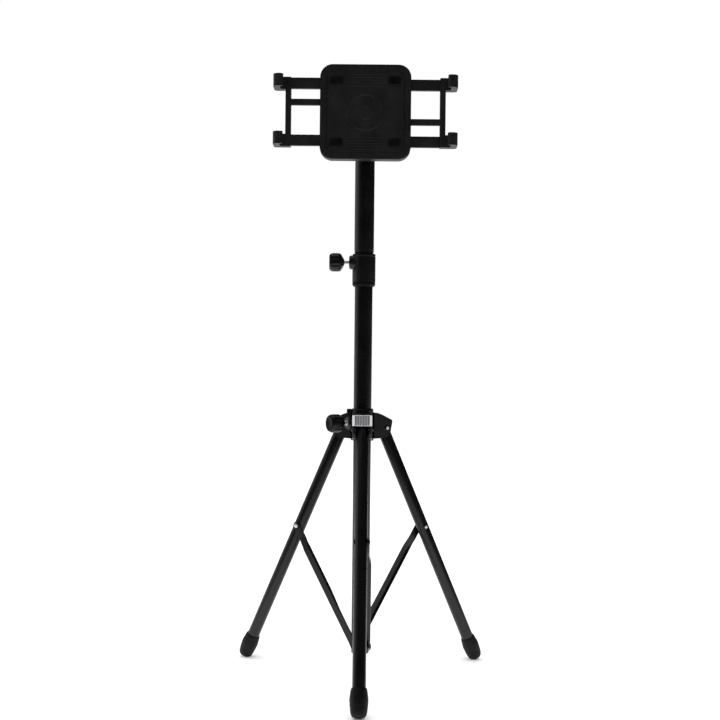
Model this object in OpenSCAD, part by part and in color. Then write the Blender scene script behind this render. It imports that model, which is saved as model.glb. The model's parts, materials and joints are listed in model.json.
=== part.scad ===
// Adjustable tablet floor stand, folding tripod base, telescopic mast, self-centring tablet holder.
// Millimetres, +Z up, origin on the floor on the column axis, the holder faces -Y.

/* [Column] */
// column tube outside diameter
column_d = 20; // [18:0.5:24]
// column tube wall
column_wall = 1.25; // [1:0.05:1.5]
// lower end of the column tube above the floor
column_z0 = 28; // [26:0.5:29]
// upper end of the column tube
column_z1 = 457; // [440:1:458]
// clamp collar outside diameter
collar_d = 26; // [25:0.5:30]
// underside of the clamp collar
collar_z0 = 439; // [430:1:445]
// top of the clamp collar
collar_z1 = 476.3; // [474:0.1:476.5]
// height of the collar clamp screw
collar_screw_z = 466.6; // [464:0.1:468]

/* [Tripod] */
// radius of the leg pivots on the hub
hub_pivot_r = 26.2; // [26:0.1:27]
// height of the leg pivots
hub_pivot_z = 280; // [270:1:290]
// leg angle from the vertical
leg_angle = 25.65; // [24:0.05:26]
// leg tube diameter
leg_d = 14; // [12:0.1:14]
// leg tube wall
leg_wall = 1.1; // [0.8:0.1:1.5]
// from the hub pivot to the strut pivot, along the leg
leg_a = 129; // [120:1:135]
// height of the lower strut pivots
strut_z = 33; // [32:0.5:35]
// strut strip width
strut_w = 8.8; // [7:0.1:9]
// strut strip thickness
strut_t = 1.3; // [1:0.1:2]
// largest diameter of a rubber foot
foot_d = 19.3; // [18.6:0.1:20]

/* [Mast] */
// mast tube diameter
mast_d = 16.5; // [16:0.1:16.6]
// mast tube wall
mast_wall = 1.2; // [0.8:0.1:1.5]
// lower end of the mast tube
mast_z0 = 60; // [56:1:70]
// socket outside diameter
socket_d = 22; // [21:0.5:24]

/* [Holder] */
// height of the holder's centre
holder_z = 628.7; // [620:0.1:640]
// holder housing width
case_w = 100; // [98:1:102]
// holder housing height
case_h = 104; // [100:1:110]
// half of the width between the claws
claw_x = 92.9; // [90:0.1:95]
// claw height
claw_h = 13.6; // [13:0.1:16]
// half of the claw spacing
claw_dz = 31.3; // [31:0.1:32]

/* [Hidden] */
$fn = 64;
e = 0.01;
leg_az = [270, 150, 30];
strut_px = hub_pivot_r + leg_a * sin(leg_angle);
strut_pz = hub_pivot_z - leg_a * cos(leg_angle);
strut_b = sqrt(strut_px * strut_px + (strut_pz - strut_z) * (strut_pz - strut_z));
strut_angle = atan2(strut_px, strut_pz - strut_z);
strut_in_low = column_d / 2 + 0.3;
strut_in_top = leg_d / 2 + 0.3;
strut_lip = leg_d / 2 + 0.7;
strut_f = 1.2;
collar_bore = mast_d + 0.2;
column_id = column_d - 2 * column_wall;
hub_knob_az = 210;
hub_knob_z = 285.5;
// holder layers, from the tilt axis towards the front
y_disc = -19;
y_wash = -24;
y_back = -25.2;
y_backi = -27.5;
y_rear0 = -27.8;
y_rear1 = -32.3;
y_frnt0 = -32.7;
y_frnt1 = -37.2;
y_covi = -37.5;
y_cov = -39.7;
y_rest = -40.9;
y_lipi = -51.3;
y_lip = -54;
bar_end = 14;
jaw_x0 = 82;
jaw_x1 = 88;
claw_out = 100.6;
lip_x = 92.2;
// pinion and racks
gear_n = 16;
gear_m = 1;
gear_rp = gear_n * gear_m / 2;
gear_pa = 20;
gear_rb = gear_rp * cos(gear_pa);
gear_play = 0.22;

// ---- frames ----
module leg_frame(az) rotate([0, 0, az]) translate([hub_pivot_r, 0, hub_pivot_z]) rotate([0, -leg_angle, 0]) children();
module strut_frame(az) rotate([0, 0, az]) translate([0, 0, strut_z]) rotate([0, strut_angle, 0]) children();
// along +Y from y0 to y1
module ycyl(d, y0, y1) translate([0, y0, 0]) rotate([-90, 0, 0]) cylinder(d = d, h = y1 - y0);
module xcyl(d, x0, x1) translate([x0, 0, 0]) rotate([0, 90, 0]) cylinder(d = d, h = x1 - x0);
module zcyl(d, z0, z1) translate([0, 0, z0]) cylinder(d = d, h = z1 - z0);
// a profile in radius and height, turned about Z
module turned(pts) rotate_extrude() polygon(pts);
// a dome headed rivet along +X, from the underside of its head
module dome(d, h) rotate([0, 90, 0]) turned([[0, 0], [d / 2, 0], [d / 2, h * 0.35], [d * 0.42, h * 0.72], [d * 0.26, h * 0.94], [0, h]]);
module rrect(w, h, r) {
  square([w - 2 * r, h], center = true);
  square([w, h - 2 * r], center = true);
  for (sx = [-1, 1]) for (sz = [-1, 1]) translate([sx * (w / 2 - r), sz * (h / 2 - r)]) circle(r = r);
}
// a 2D outline in X and Z, drawn out along Y from y0 to y1 (y0 > y1)
module slab(y0, y1) translate([0, y0, 0]) rotate([90, 0, 0]) linear_extrude(height = y0 - y1) children();

// ---- column ----
module column_tube() color([0.05, 0.05, 0.055]) difference() {
  zcyl(column_d, column_z0, column_z1);
  zcyl(column_id, column_z0 - 1, column_z1 + 1);
  for (az = leg_az) rotate([0, 0, az + 90]) translate([0, 0, strut_z]) xcyl(4, 2, 20);
}
module column_plug() color([0.04, 0.04, 0.045]) difference() {
  turned([[0, column_z0 - 2], [column_d / 2 - 0.8, column_z0 - 2], [column_d / 2, column_z0 - 1.2], [column_d / 2, column_z0],
      [column_id / 2, column_z0], [column_id / 2, column_z0 + 20], [column_id / 2 - 1, column_z0 + 21], [0, column_z0 + 21]]);
  for (az = leg_az) rotate([0, 0, az + 90]) translate([0, 0, strut_z]) xcyl(4, 4, 20);
}
module strut_rivets_low() color([0.1, 0.1, 0.1]) for (az = leg_az) rotate([0, 0, az + 90]) translate([0, 0, strut_z]) {
  xcyl(4, 4, strut_in_low + strut_t + 0.2);
  translate([strut_in_low + strut_t + 0.15, 0, 0]) dome(6.4, 0.9);
}
module collar() color([0.045, 0.045, 0.05]) difference() {
  union() {
    turned([[collar_bore / 2, collar_z0], [collar_d / 2 - 2, collar_z0], [collar_d / 2, collar_z0 + 2.4],
        [collar_d / 2, collar_z1 - 1], [collar_d / 2 - 1, collar_z1], [collar_bore / 2, collar_z1]]);
    translate([0, 0, collar_screw_z]) rotate([0, -90, 0]) turned([[0, 9], [7.9, 9], [7.9, 15.4], [6.6, 16.8], [0, 16.8]]);
  }
  zcyl(column_d, collar_z0 - 1, column_z1);
  zcyl(collar_bore, collar_z0, collar_z1 + 1);
  translate([0, 0, collar_screw_z]) xcyl(4.2, -20, 0);
  translate([0, 0, collar_screw_z]) xcyl(9.4, -16, -11);
}
module collar_nut() color([0.7, 0.62, 0.4]) translate([0, 0, collar_screw_z]) difference() {
  xcyl(9.4, -16, -11);
  xcyl(4.2, -20, 0);
}
module collar_knob() color([0.04, 0.04, 0.045]) translate([-22.3, 0, collar_screw_z]) rotate([0, -90, 0]) difference() {
  turned([[0, 0], [3.2, 0], [4.2, 0.8], [7.8, 2.8], [9.5, 3.8], [10.35, 5.4], [10.45, 12.4], [10.1, 14.2], [8.7, 16.8], [0, 16.8]]);
  for (i = [0:7]) rotate([0, 0, i * 45 + 22.5]) translate([12.3, 0, 3]) cylinder(d = 5, h = 16);
  translate([0, 0, -1]) cylinder(d = 4, h = 13);
}
module collar_knob_screw() color([0.72, 0.72, 0.74]) translate([0, 0, collar_screw_z]) xcyl(4, -34.3, -mast_d / 2 - 0.3);

// ---- hub ----
module bracket_2d(front) polygon(front
  ? [[9, 268], [9, 297.5], [33.4, 297.5], [34.6, 296.3], [34.6, 276], [31.5, 270.4], [22, 268]]
  : [[9, 268], [9, 297.5], [13, 297.2], [18.7, 295.4], [25.2, 292.4], [32.4, 288.9], [33.2, 287.4], [31, 276], [30.2, 272.4], [28.5, 270.4], [22, 268.6]]);
module bracket(az, front) rotate([0, 0, az]) intersection() {
  rotate([90, 0, 0]) linear_extrude(height = 22.2, center = true) bracket_2d(front);
  translate([0, 0, 260]) linear_extrude(height = 45) polygon([[0, -11.1], [33.4, -11.1], [34.6, -9.9], [34.6, 9.9], [33.4, 11.1], [0, 11.1]]);
}
module leg_slot(az) rotate([0, 0, az]) rotate([90, 0, 0]) linear_extrude(height = 15, center = true) {
  translate([hub_pivot_r, hub_pivot_z]) circle(r = 8.6);
  polygon([[16.8, 260], [16.8, 280], [26, 280], [26, 283.6], [40, 283.6], [40, 260]]);
}
module hub_body() color([0.045, 0.045, 0.05]) difference() {
  union() {
    zcyl(25.6, 266, 297.5);
    for (i = [0:2]) bracket(leg_az[i], i == 0);
    rotate([0, 0, hub_knob_az]) translate([0, 0, hub_knob_z]) rotate([0, 90, 0]) turned([[0, 9], [7.6, 9], [7.6, 18.6], [6.4, 19.8], [0, 19.8]]);
    rotate([0, 0, 186]) translate([0, 0, 298.2]) rotate([0, 90, 0]) turned([[0, 9], [3.2, 9], [3.2, 17], [2.6, 17.6], [0, 17.6]]);
  }
  zcyl(22.8, 260, 310);
  zcyl(24.8, 297.5, 310);
  for (az = leg_az) leg_slot(az);
  for (az = leg_az) rotate([0, 0, az]) translate([hub_pivot_r, 0, hub_pivot_z]) ycyl(5, -20, 20);
  rotate([0, 0, hub_knob_az]) translate([0, 0, hub_knob_z]) { xcyl(6.2, 8, 30); xcyl(10.4, 13, 18.4); }
}
module hub_bush() color([0.06, 0.06, 0.065]) difference() {
  turned([[column_d / 2 + 0.45, 266.4], [11.4, 266.4], [11.4, 297.5], [12.4, 297.5], [12.4, 300.4], [11.4, 301.8], [column_d / 2 + 0.45, 301.8]]);
  rotate([0, 0, hub_knob_az]) translate([0, 0, hub_knob_z]) xcyl(6.2, 4, 30);
}
module hub_nut() color([0.7, 0.62, 0.4]) rotate([0, 0, hub_knob_az]) translate([0, 0, hub_knob_z]) difference() {
  xcyl(10.4, 13, 18.4);
  xcyl(6.2, 8, 30);
}
module hub_plate() color([0.8, 0.8, 0.82]) rotate([0, 0, leg_az[0]]) translate([34.6, 0, 0]) {
  translate([0, -11, 283.8]) cube([0.9, 22, 12]);
  for (i = [-2:2]) translate([0.8, i * 2.8 - 0.7, 284.4]) cube([0.5, 1.4, 10.8]);
  for (s = [-1, 1]) translate([0.8, s * 9.6 - 1.4, 283.8]) cube([0.5, 2.8, 12]);
}
module leg_rivets() color([0.8, 0.8, 0.82]) for (az = leg_az) rotate([0, 0, az]) translate([hub_pivot_r, 0, hub_pivot_z]) {
  ycyl(5, -11.2, 11.2);
  rotate([0, 0, 90]) translate([11.1, 0, 0]) dome(6, 1.3);
  rotate([0, 0, -90]) translate([11.1, 0, 0]) dome(6, 1.3);
}
module hub_knob() color([0.04, 0.04, 0.045]) rotate([0, 0, hub_knob_az]) translate([24.6, 0, hub_knob_z]) rotate([0, 90, 0]) difference() {
  turned([[0, 0], [4.6, 0], [5.6, 0.9], [8.4, 3.6], [9.6, 4.8], [10.25, 7], [10.25, 14], [9.7, 16.4], [8.6, 17.9], [7.5, 18.3], [6.6, 17.9], [3.5, 17.1], [0, 16.9]]);
  for (i = [0:7]) rotate([0, 0, i * 45]) translate([12.2, 0, 4.6]) cylinder(d = 5, h = 20);
  translate([0, 0, -1]) cylinder(d = 6, h = 14);
}
module hub_knob_screw() color([0.75, 0.75, 0.77]) rotate([0, 0, hub_knob_az]) translate([0, 0, hub_knob_z]) xcyl(6, column_d / 2 + 0.7, 37.6);

// ---- legs ----
module leg(az) color([0.06, 0.06, 0.065]) leg_frame(az) difference() {
  turned([[0, -303], [leg_d / 2, -303], [leg_d / 2, 3.4], [leg_d / 2 - 0.7, 4.6], [0, 4.6]]);
  zcyl(leg_d - 2 * leg_wall, -304, 6);
  ycyl(6, -20, 20);
  translate([0, 0, -leg_a]) ycyl(4, -20, 20);
}
module leg_plug(az) color([0.04, 0.04, 0.045]) leg_frame(az) difference() {
  turned([[0, -14], [leg_d / 2 - leg_wall - 0.6, -14], [leg_d / 2 - leg_wall, -13], [leg_d / 2 - leg_wall, 4.6], [leg_d / 2 - 0.7, 4.6], [5.2, 6], [3, 7], [0, 7.4]]);
  ycyl(6, -20, 20);
}
module foot(az) color([0.03, 0.03, 0.03]) difference() {
  leg_frame(az) difference() {
    turned([[0, -308.6], [4.6, -308.6], [6.3, -308], [7.5, -306.6], [8.4, -303.8], [foot_d / 2 - 0.5, -298.8], [foot_d / 2 - 0.1, -293.4], [foot_d / 2, -291], [foot_d / 2 - 0.2, -288.6], [8.9, -285.2], [8.55, -282.4], [7.95, -280], [7.5, -279.6], [0, -279.6]]);
    zcyl(leg_d, -303, -270);
  }
  translate([-300, -300, -30]) cube([600, 600, 30]);
}
// a channel: the flanges stand towards the leg and leave room for the column
module strut(az) color([0.05, 0.05, 0.055]) strut_frame(az) difference() {
  intersection() {
    union() {
      rotate([90, 0, 90]) linear_extrude(height = 20, center = true)
        polygon([[strut_in_low, -6], [strut_in_low + strut_t, -6], [strut_in_low + strut_t, 124.3], [strut_in_top + strut_t, 137.3], [strut_in_top + strut_t, strut_b + 6],
            [strut_in_top, strut_b + 6], [strut_in_top, 137], [strut_in_low, 124]]);
      translate([strut_w / 2 - strut_f, 0, 0]) rotate([90, 0, 90]) linear_extrude(height = 10)
        polygon([[strut_in_low + 0.7, 4], [strut_in_low, 4], [strut_in_low - 1.1, 10], [strut_lip, 22], [strut_lip, 133], [strut_lip + 1.1, 133.4], [strut_in_low + 0.7, 124.2]]);
      translate([strut_f - strut_w / 2 - 10, 0, 0]) rotate([90, 0, 90]) linear_extrude(height = 10)
        polygon([[strut_in_low + 0.7, 42], [strut_in_low, 42], [strut_in_low - 0.8, 51], [strut_in_low - 1.8, 61], [strut_lip, 72], [strut_lip, 133], [strut_lip + 1.1, 133.4], [strut_in_low + 0.7, 124.2]]);
    }
    translate([0, 0, 0]) rotate([-90, 0, 0]) linear_extrude(height = 20) {
      circle(d = strut_w);
      translate([0, -strut_b]) circle(d = strut_w);
      translate([-strut_w / 2, -strut_b]) square([strut_w, strut_b]);
    }
  }
  ycyl(4.2, 0, 20);
  translate([0, 0, strut_b]) ycyl(4.2, 0, 20);
}
module strut_rivet(az) color([0.8, 0.8, 0.82]) leg_frame(az) translate([0, 0, -leg_a]) rotate([0, 0, 90]) {
  xcyl(4, -leg_d / 2 - 0.2, strut_in_top + strut_t + 0.2);
  translate([strut_in_top + strut_t + 0.15, 0, 0]) dome(5.8, 1.4);
  translate([-leg_d / 2 + 0.05, 0, 0]) rotate([0, 0, 180]) dome(5.8, 1.4);
}

// ---- mast ----
module mast_bush() color([0.2, 0.2, 0.2]) difference() {
  zcyl(column_id - 0.2, mast_z0 + 0.3, mast_z0 + 24);
  zcyl(mast_d + 0.1, mast_z0, mast_z0 + 30);
}
module mast_tube() color([0.06, 0.06, 0.065]) difference() {
  zcyl(mast_d, mast_z0, 546);
  zcyl(mast_d - 2 * mast_wall, mast_z0 - 1, 547);
}
module mast_end_plug() color([0.04, 0.04, 0.045])
  turned([[0, mast_z0 - 3], [8, mast_z0 - 3], [8.5, mast_z0 - 2.5], [8.5, mast_z0], [mast_d / 2 - mast_wall, mast_z0], [mast_d / 2 - mast_wall, mast_z0 + 12], [0, mast_z0 + 12]]);
module mast_ring() color([0.5, 0.5, 0.52]) difference() {
  zcyl(column_id - 0.5, mast_z0 + 24.3, mast_z0 + 25.8);
  zcyl(mast_d, mast_z0, mast_z0 + 30);
}
module socket() color([0.05, 0.05, 0.055]) difference() {
  turned([[0, 477], [socket_d / 2 - 0.8, 477], [socket_d / 2, 477.8], [socket_d / 2, 595.4], [socket_d / 2 - 0.6, 596], [0, 596]]);
  zcyl(mast_d, 470, 546);
  zcyl(14, 574, 600);
  translate([0, 0, 530]) ycyl(4, 0, 20);
}
module socket_screw() color([0.1, 0.1, 0.1]) translate([0, 0, 530]) {
  ycyl(4, mast_d / 2, socket_d / 2);
  translate([0, socket_d / 2, 0]) rotate([0, 0, 90]) dome(7, 2);
}

// ---- head ----
module tilt_fork() color([0.045, 0.045, 0.05]) difference() {
  union() {
    zcyl(14, 574, 597);
    turned([[0, 596], [11.6, 596], [12.2, 596.8], [12.2, 603], [0, 603]]);
    translate([-11.4, -10, 602]) cube([22.8, 20, holder_z - 602]);
    translate([0, 0, holder_z]) xcyl(21, -11.4, 11.4);
  }
  translate([-6.2, -20, holder_z - 12.4]) cube([12.4, 40, 40]);
  translate([0, 0, holder_z]) xcyl(6, -20, 20);
}
module tilt_bolt() color([0.7, 0.7, 0.72]) translate([0, 0, holder_z]) {
  xcyl(6, -11.4, 24);
  translate([-14.4, 0, 0]) rotate([0, 90, 0]) cylinder(d = 11, h = 3, $fn = 6);
}
module tilt_knob() color([0.04, 0.04, 0.045]) translate([11.8, 0, holder_z]) rotate([0, 90, 0]) difference() {
  turned([[0, 0], [6, 0], [7, 1], [8.4, 3.6], [11.2, 5], [11.5, 7], [11.5, 14.6], [10.6, 16], [0, 16.4]]);
  for (i = [0:7]) rotate([0, 0, i * 45]) translate([13.6, 0, 4]) cylinder(d = 5.4, h = 20);
  translate([0, 0, -1]) cylinder(d = 6.2, h = 13.6);
}
module tilt_arm() color([0.045, 0.045, 0.05]) translate([0, 0, holder_z]) difference() {
  union() {
    xcyl(20, -5.9, 5.9);
    translate([-5.9, y_disc - 1, -8]) cube([11.8, -y_disc + 1, 16]);
    ycyl(38, y_wash, y_disc);
    ycyl(14, y_rear0, y_wash + 1);
  }
  xcyl(6.2, -20, 20);
  ycyl(4, y_rear0 - 1, -17);
}
module swivel_washer() color([0.75, 0.75, 0.72]) translate([0, 0, holder_z]) difference() {
  ycyl(30, y_wash - 1, y_wash);
  ycyl(14, y_wash - 2, y_wash + 1);
}
module swivel_retainer() color([0.6, 0.6, 0.62]) translate([0, 0, holder_z]) difference() {
  ycyl(22, y_rear0 - 1.4, y_rear0);
  ycyl(4, y_rear0 - 3, y_rear0 + 1);
}
module swivel_screw() color([0.7, 0.7, 0.72]) translate([0, 0, holder_z]) difference() {
  union() { ycyl(4, y_rear0 - 2, -17); ycyl(8, y_rear0 - 3.6, y_rear0 - 1.4); }
  translate([0, y_rear0 - 4, 0]) rotate([-90, 0, 0]) cylinder(d = 3.4, h = 1.6, $fn = 6);
}

// ---- holder ----
module bar_slots() for (s = [-1, 1]) {
  for (z = [-claw_dz, claw_dz]) translate([s > 0 ? 40 : -60, s > 0 ? y_rear1 - 0.25 : y_frnt1 - 0.2, z - 6.3]) cube([20, 5.05, 12.6]);
  translate([s > 0 ? 40 : -60, y_frnt1 - 0.2, s > 0 ? -14.5 : 6.6]) cube([20, 4.4, 7.9]);
}
module case_rear() color([0.045, 0.045, 0.05]) translate([0, 0, holder_z]) difference() {
  union() {
    difference() {
      slab(y_back, y_covi) rrect(case_w, case_h, 14);
      slab(y_backi, y_covi - 1) rrect(case_w - 4.6, case_h - 4.6, 11.7);
    }
    for (sx = [-1, 1]) for (sz = [-1, 1]) translate([sx * 38, 0, sz * 44.6]) ycyl(7, y_covi, y_back - 0.5);
  }
  ycyl(14.2, y_backi - 1, y_back + 1);
  bar_slots();
  translate([0, 0, claw_dz]) ycyl(9, y_backi - 1, y_back + 1);
  for (sx = [-1, 1]) for (sz = [-1, 1]) translate([sx * 38, 0, sz * 44.6]) ycyl(3, y_covi - 1, y_back + 1);
}
module case_front() color([0.045, 0.045, 0.05]) translate([0, 0, holder_z]) difference() {
  union() {
    slab(y_covi, y_cov + 0.8) rrect(case_w, case_h, 14);
    slab(y_cov + 0.8, y_cov) rrect(case_w - 1.6, case_h - 1.6, 13.2);
  }
  ycyl(5, y_cov + 0.9, y_covi + 1);
  slab(y_cov + 0.6, y_cov - 1) difference() { rrect(86, 90, 9); rrect(84.4, 88.4, 8.2); }
}
module case_screws() color([0.7, 0.7, 0.72]) translate([0, 0, holder_z]) for (sx = [-1, 1]) for (sz = [-1, 1]) translate([sx * 38, 0, sz * 44.6]) {
  ycyl(3, y_covi, y_back);
  translate([0, y_back, 0]) rotate([0, 0, 90]) dome(5.6, 1.4);
}
module rest_pads() color([0.03, 0.03, 0.03]) translate([0, 0, holder_z]) for (sx = [-1, 1]) for (sz = [-1, 1]) translate([sx * 32, 0, sz * 34]) {
  slab(y_cov, y_rest) rrect(14, 9, 3);
}
module pinion_axle() color([0.7, 0.7, 0.72]) translate([0, 0, holder_z]) {
  ycyl(5, y_cov + 0.9, y_frnt0 - 0.6);
  ycyl(8, y_frnt0 - 0.6, y_frnt0 + 0.5);
}
module lock_insert() color([0.7, 0.62, 0.4]) translate([0, 0, holder_z + claw_dz]) difference() {
  ycyl(9, y_backi, y_back);
  ycyl(5.2, y_backi - 1, y_back + 1);
}

// pinion teeth: half angle of a tooth at a radius, from the involute, less the play
function inv_deg(r) = tan(acos(gear_rb / r)) * 180 / PI - acos(gear_rb / r);
function half_tooth(r) = 90 / gear_n - gear_play / gear_rp * 180 / PI + inv_deg(gear_rp) - inv_deg(max(r, gear_rb + 0.001));
function gear_pts() = [for (i = [0:gear_n - 1], q = [[6.95, -1], [gear_rp, -1], [8.85, -1], [8.85, 1], [gear_rp, 1], [6.95, 1]])
    let (a = 90 + i * 360 / gear_n + q[1] * half_tooth(max(q[0], gear_rb + 0.001))) [q[0] * cos(a), q[0] * sin(a)]];
module pinion() color([0.8, 0.8, 0.75]) translate([0, 0, holder_z]) difference() {
  slab(y_frnt0 - 0.9, y_frnt1 + 0.1) polygon(gear_pts());
  ycyl(5.2, y_frnt1 - 1, y_frnt0 + 1);
}
// upper rack outline in X and Z, gap over x = 0, teeth pointing down
rack_p = PI * gear_m;
module rack_2d(x0, x1) difference() {
  translate([x0, gear_rp - 0.85]) square([x1 - x0, 14 - gear_rp + 0.85]);
  for (i = [-14:6]) translate([i * rack_p, 0])
    polygon([[-rack_p / 4 - 0.9 * tan(gear_pa) - gear_play / 2, gear_rp - 0.9], [rack_p / 4 + 0.9 * tan(gear_pa) + gear_play / 2, gear_rp - 0.9],
        [rack_p / 4 - 1.15 * tan(gear_pa) + gear_play / 2, gear_rp + 1.15], [-rack_p / 4 + 1.15 * tan(gear_pa) - gear_play / 2, gear_rp + 1.15]]);
}
// claw outline in X and Y, right side, y towards the front is negative
module claw_2d() difference() {
  union() {
    translate([jaw_x0, y_frnt1]) square([claw_out - jaw_x0 - 4, y_rear0 - y_frnt1]);
    translate([claw_x + 0.5, y_lip + 6]) square([claw_out - claw_x - 0.5, y_rear0 - y_lip - 10]);
    translate([claw_x + 0.5, y_rear0 - 6]) square([claw_out - claw_x - 4.5, 6]);
    translate([claw_out - 4, y_rear0 - 4]) circle(r = 4);
    translate([claw_out - 6, y_lip + 6]) circle(r = 6);
    translate([lip_x, y_lip]) square([claw_out - lip_x - 6, y_lipi - y_lip]);
    translate([lip_x, (y_lip + y_lipi) / 2]) circle(d = y_lipi - y_lip);
  }
  translate([80, y_lipi]) square([claw_x + 0.5 - 80, y_frnt1 - y_lipi]);
}
module jaw_right() color([0.045, 0.045, 0.05]) translate([0, 0, holder_z]) {
  // upright between the claws
  translate([jaw_x0, y_frnt1, -claw_dz - claw_h / 2]) cube([jaw_x1 - jaw_x0, y_rear0 - y_frnt1, 2 * claw_dz + claw_h]);
  for (z = [-claw_dz, claw_dz]) {
    translate([0, 0, z - claw_h / 2]) linear_extrude(height = claw_h) claw_2d();
    translate([-bar_end, y_rear1, z - 6]) cube([jaw_x0 + 1 + bar_end, y_rear0 - y_rear1, 12]);
  }
  slab(y_frnt0 - 0.9, y_frnt1) mirror([0, 1]) mirror([1, 0]) rack_2d(-jaw_x0 - 1, 17);
}
module jaw_left() color([0.045, 0.045, 0.05]) translate([0, 0, holder_z]) {
  translate([-jaw_x1, y_frnt1, -claw_dz - claw_h / 2]) cube([jaw_x1 - jaw_x0, y_rear0 - y_frnt1, 2 * claw_dz + claw_h]);
  for (z = [-claw_dz, claw_dz]) {
    translate([0, 0, z - claw_h / 2]) linear_extrude(height = claw_h) mirror([1, 0]) claw_2d();
    translate([-jaw_x0 - 1, y_frnt1, z - 6]) cube([jaw_x0 + 1 + bar_end, y_frnt0 - y_frnt1, 12]);
  }
  slab(y_frnt0 - 0.9, y_frnt1) rack_2d(-jaw_x0 - 1, 17);
}
module claw_pads(s) color([0.03, 0.03, 0.03]) translate([0, 0, holder_z]) for (z = [-claw_dz, claw_dz])
  translate([s > 0 ? claw_x : -claw_x - 0.5, y_lipi + 0.4, z - claw_h / 2 + 0.7]) cube([0.5, y_frnt1 - y_lipi - 0.8, claw_h - 1.4]);
module lock_knob() color([0.04, 0.04, 0.045]) translate([0, y_back + 0.5, holder_z + claw_dz]) rotate([-90, 0, 0]) difference() {
  turned([[0, 0], [5, 0], [5.6, 0.6], [8, 2.2], [9, 3.2], [9, 8.8], [8.2, 10], [0, 10.4]]);
  for (i = [0:7]) rotate([0, 0, i * 45]) translate([10.8, 0, 2.4]) cylinder(d = 4.4, h = 12);
  translate([0, 0, -1]) cylinder(d = 5, h = 8);
}
module lock_screw() color([0.7, 0.7, 0.72]) translate([0, 0, holder_z + claw_dz]) ycyl(5, y_backi - 0.1, y_back + 7.4);

column_tube();
column_plug();
strut_rivets_low();
collar();
collar_nut();
collar_knob();
collar_knob_screw();
hub_body();
hub_bush();
hub_nut();
hub_plate();
leg_rivets();
hub_knob();
hub_knob_screw();
leg(leg_az[0]);  // leg_front
leg(leg_az[1]);  // leg_left
leg(leg_az[2]);  // leg_right
leg_plug(leg_az[0]);  // leg_plug_front
leg_plug(leg_az[1]);  // leg_plug_left
leg_plug(leg_az[2]);  // leg_plug_right
foot(leg_az[0]);  // foot_front
foot(leg_az[1]);  // foot_left
foot(leg_az[2]);  // foot_right
strut(leg_az[0]);  // strut_front
strut(leg_az[1]);  // strut_left
strut(leg_az[2]);  // strut_right
strut_rivet(leg_az[0]);  // strut_rivet_front
strut_rivet(leg_az[1]);  // strut_rivet_left
strut_rivet(leg_az[2]);  // strut_rivet_right
mast_bush();
mast_tube();
mast_end_plug();
mast_ring();
socket();
socket_screw();
tilt_fork();
tilt_bolt();
tilt_knob();
tilt_arm();
swivel_washer();
swivel_retainer();
swivel_screw();
case_rear();
case_front();
case_screws();
rest_pads();
pinion_axle();
lock_insert();
pinion();
jaw_left();
jaw_right();
claw_pads(-1);  // claw_pads_left
claw_pads(1);  // claw_pads_right
lock_knob();
lock_screw();
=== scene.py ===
import bpy
import bmesh
import json
import math
from mathutils import Matrix, Vector


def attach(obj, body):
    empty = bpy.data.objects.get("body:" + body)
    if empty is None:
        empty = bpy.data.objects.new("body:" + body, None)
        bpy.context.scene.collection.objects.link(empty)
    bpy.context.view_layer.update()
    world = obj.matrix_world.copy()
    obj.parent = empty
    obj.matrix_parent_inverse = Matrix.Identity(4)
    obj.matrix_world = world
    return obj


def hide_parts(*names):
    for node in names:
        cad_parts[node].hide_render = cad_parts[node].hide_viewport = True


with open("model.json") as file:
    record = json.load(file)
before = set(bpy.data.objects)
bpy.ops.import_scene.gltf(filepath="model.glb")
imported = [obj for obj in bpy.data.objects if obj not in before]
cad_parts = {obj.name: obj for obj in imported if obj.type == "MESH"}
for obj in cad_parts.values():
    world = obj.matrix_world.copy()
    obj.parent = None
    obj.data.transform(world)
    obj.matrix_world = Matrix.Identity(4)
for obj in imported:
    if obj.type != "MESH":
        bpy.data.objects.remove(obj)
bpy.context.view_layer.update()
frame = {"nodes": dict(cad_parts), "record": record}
NODES = frame["nodes"]
MM = 0.001

# ---------------------------------------------------------------- materials


def new_mat(name, colour):
    m = bpy.data.materials.new(name)
    m.use_nodes = True
    m.diffuse_color = (*colour, 1.0)
    nt = m.node_tree
    nt.nodes.clear()
    out = nt.nodes.new("ShaderNodeOutputMaterial")
    bsdf = nt.nodes.new("ShaderNodeBsdfPrincipled")
    nt.links.new(bsdf.outputs["BSDF"], out.inputs["Surface"])
    return m, nt, bsdf


def coords(nt, scale=(1.0, 1.0, 1.0)):
    tc = nt.nodes.new("ShaderNodeTexCoord")
    mp = nt.nodes.new("ShaderNodeMapping")
    mp.inputs["Scale"].default_value = scale
    nt.links.new(tc.outputs["Object"], mp.inputs["Vector"])
    return mp.outputs["Vector"]


def noise(nt, vec, scale, detail=3.0, rough=0.5):
    n = nt.nodes.new("ShaderNodeTexNoise")
    n.inputs["Scale"].default_value = scale
    n.inputs["Detail"].default_value = detail
    n.inputs["Roughness"].default_value = rough
    nt.links.new(vec, n.inputs["Vector"])
    return n.outputs["Fac"]


def ramp(nt, fac, stops):
    r = nt.nodes.new("ShaderNodeValToRGB")
    els = r.color_ramp.elements
    while len(els) < len(stops):
        els.new(0.5)
    for el, (p, c) in zip(els, stops):
        el.position = p
        el.color = (*c, 1.0) if len(c) == 3 else c
    nt.links.new(fac, r.inputs["Fac"])
    return r.outputs["Color"]


def span(nt, fac, lo, hi, a=0.3, b=0.7):
    r = nt.nodes.new("ShaderNodeMapRange")
    r.inputs["From Min"].default_value = a
    r.inputs["From Max"].default_value = b
    r.inputs["To Min"].default_value = lo
    r.inputs["To Max"].default_value = hi
    nt.links.new(fac, r.inputs["Value"])
    return r.outputs["Result"]


def math_node(nt, op, a, b):
    n = nt.nodes.new("ShaderNodeMath")
    n.operation = op
    for i, v in enumerate((a, b)):
        if isinstance(v, (int, float)):
            n.inputs[i].default_value = v
        else:
            nt.links.new(v, n.inputs[i])
    return n.outputs[0]


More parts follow.
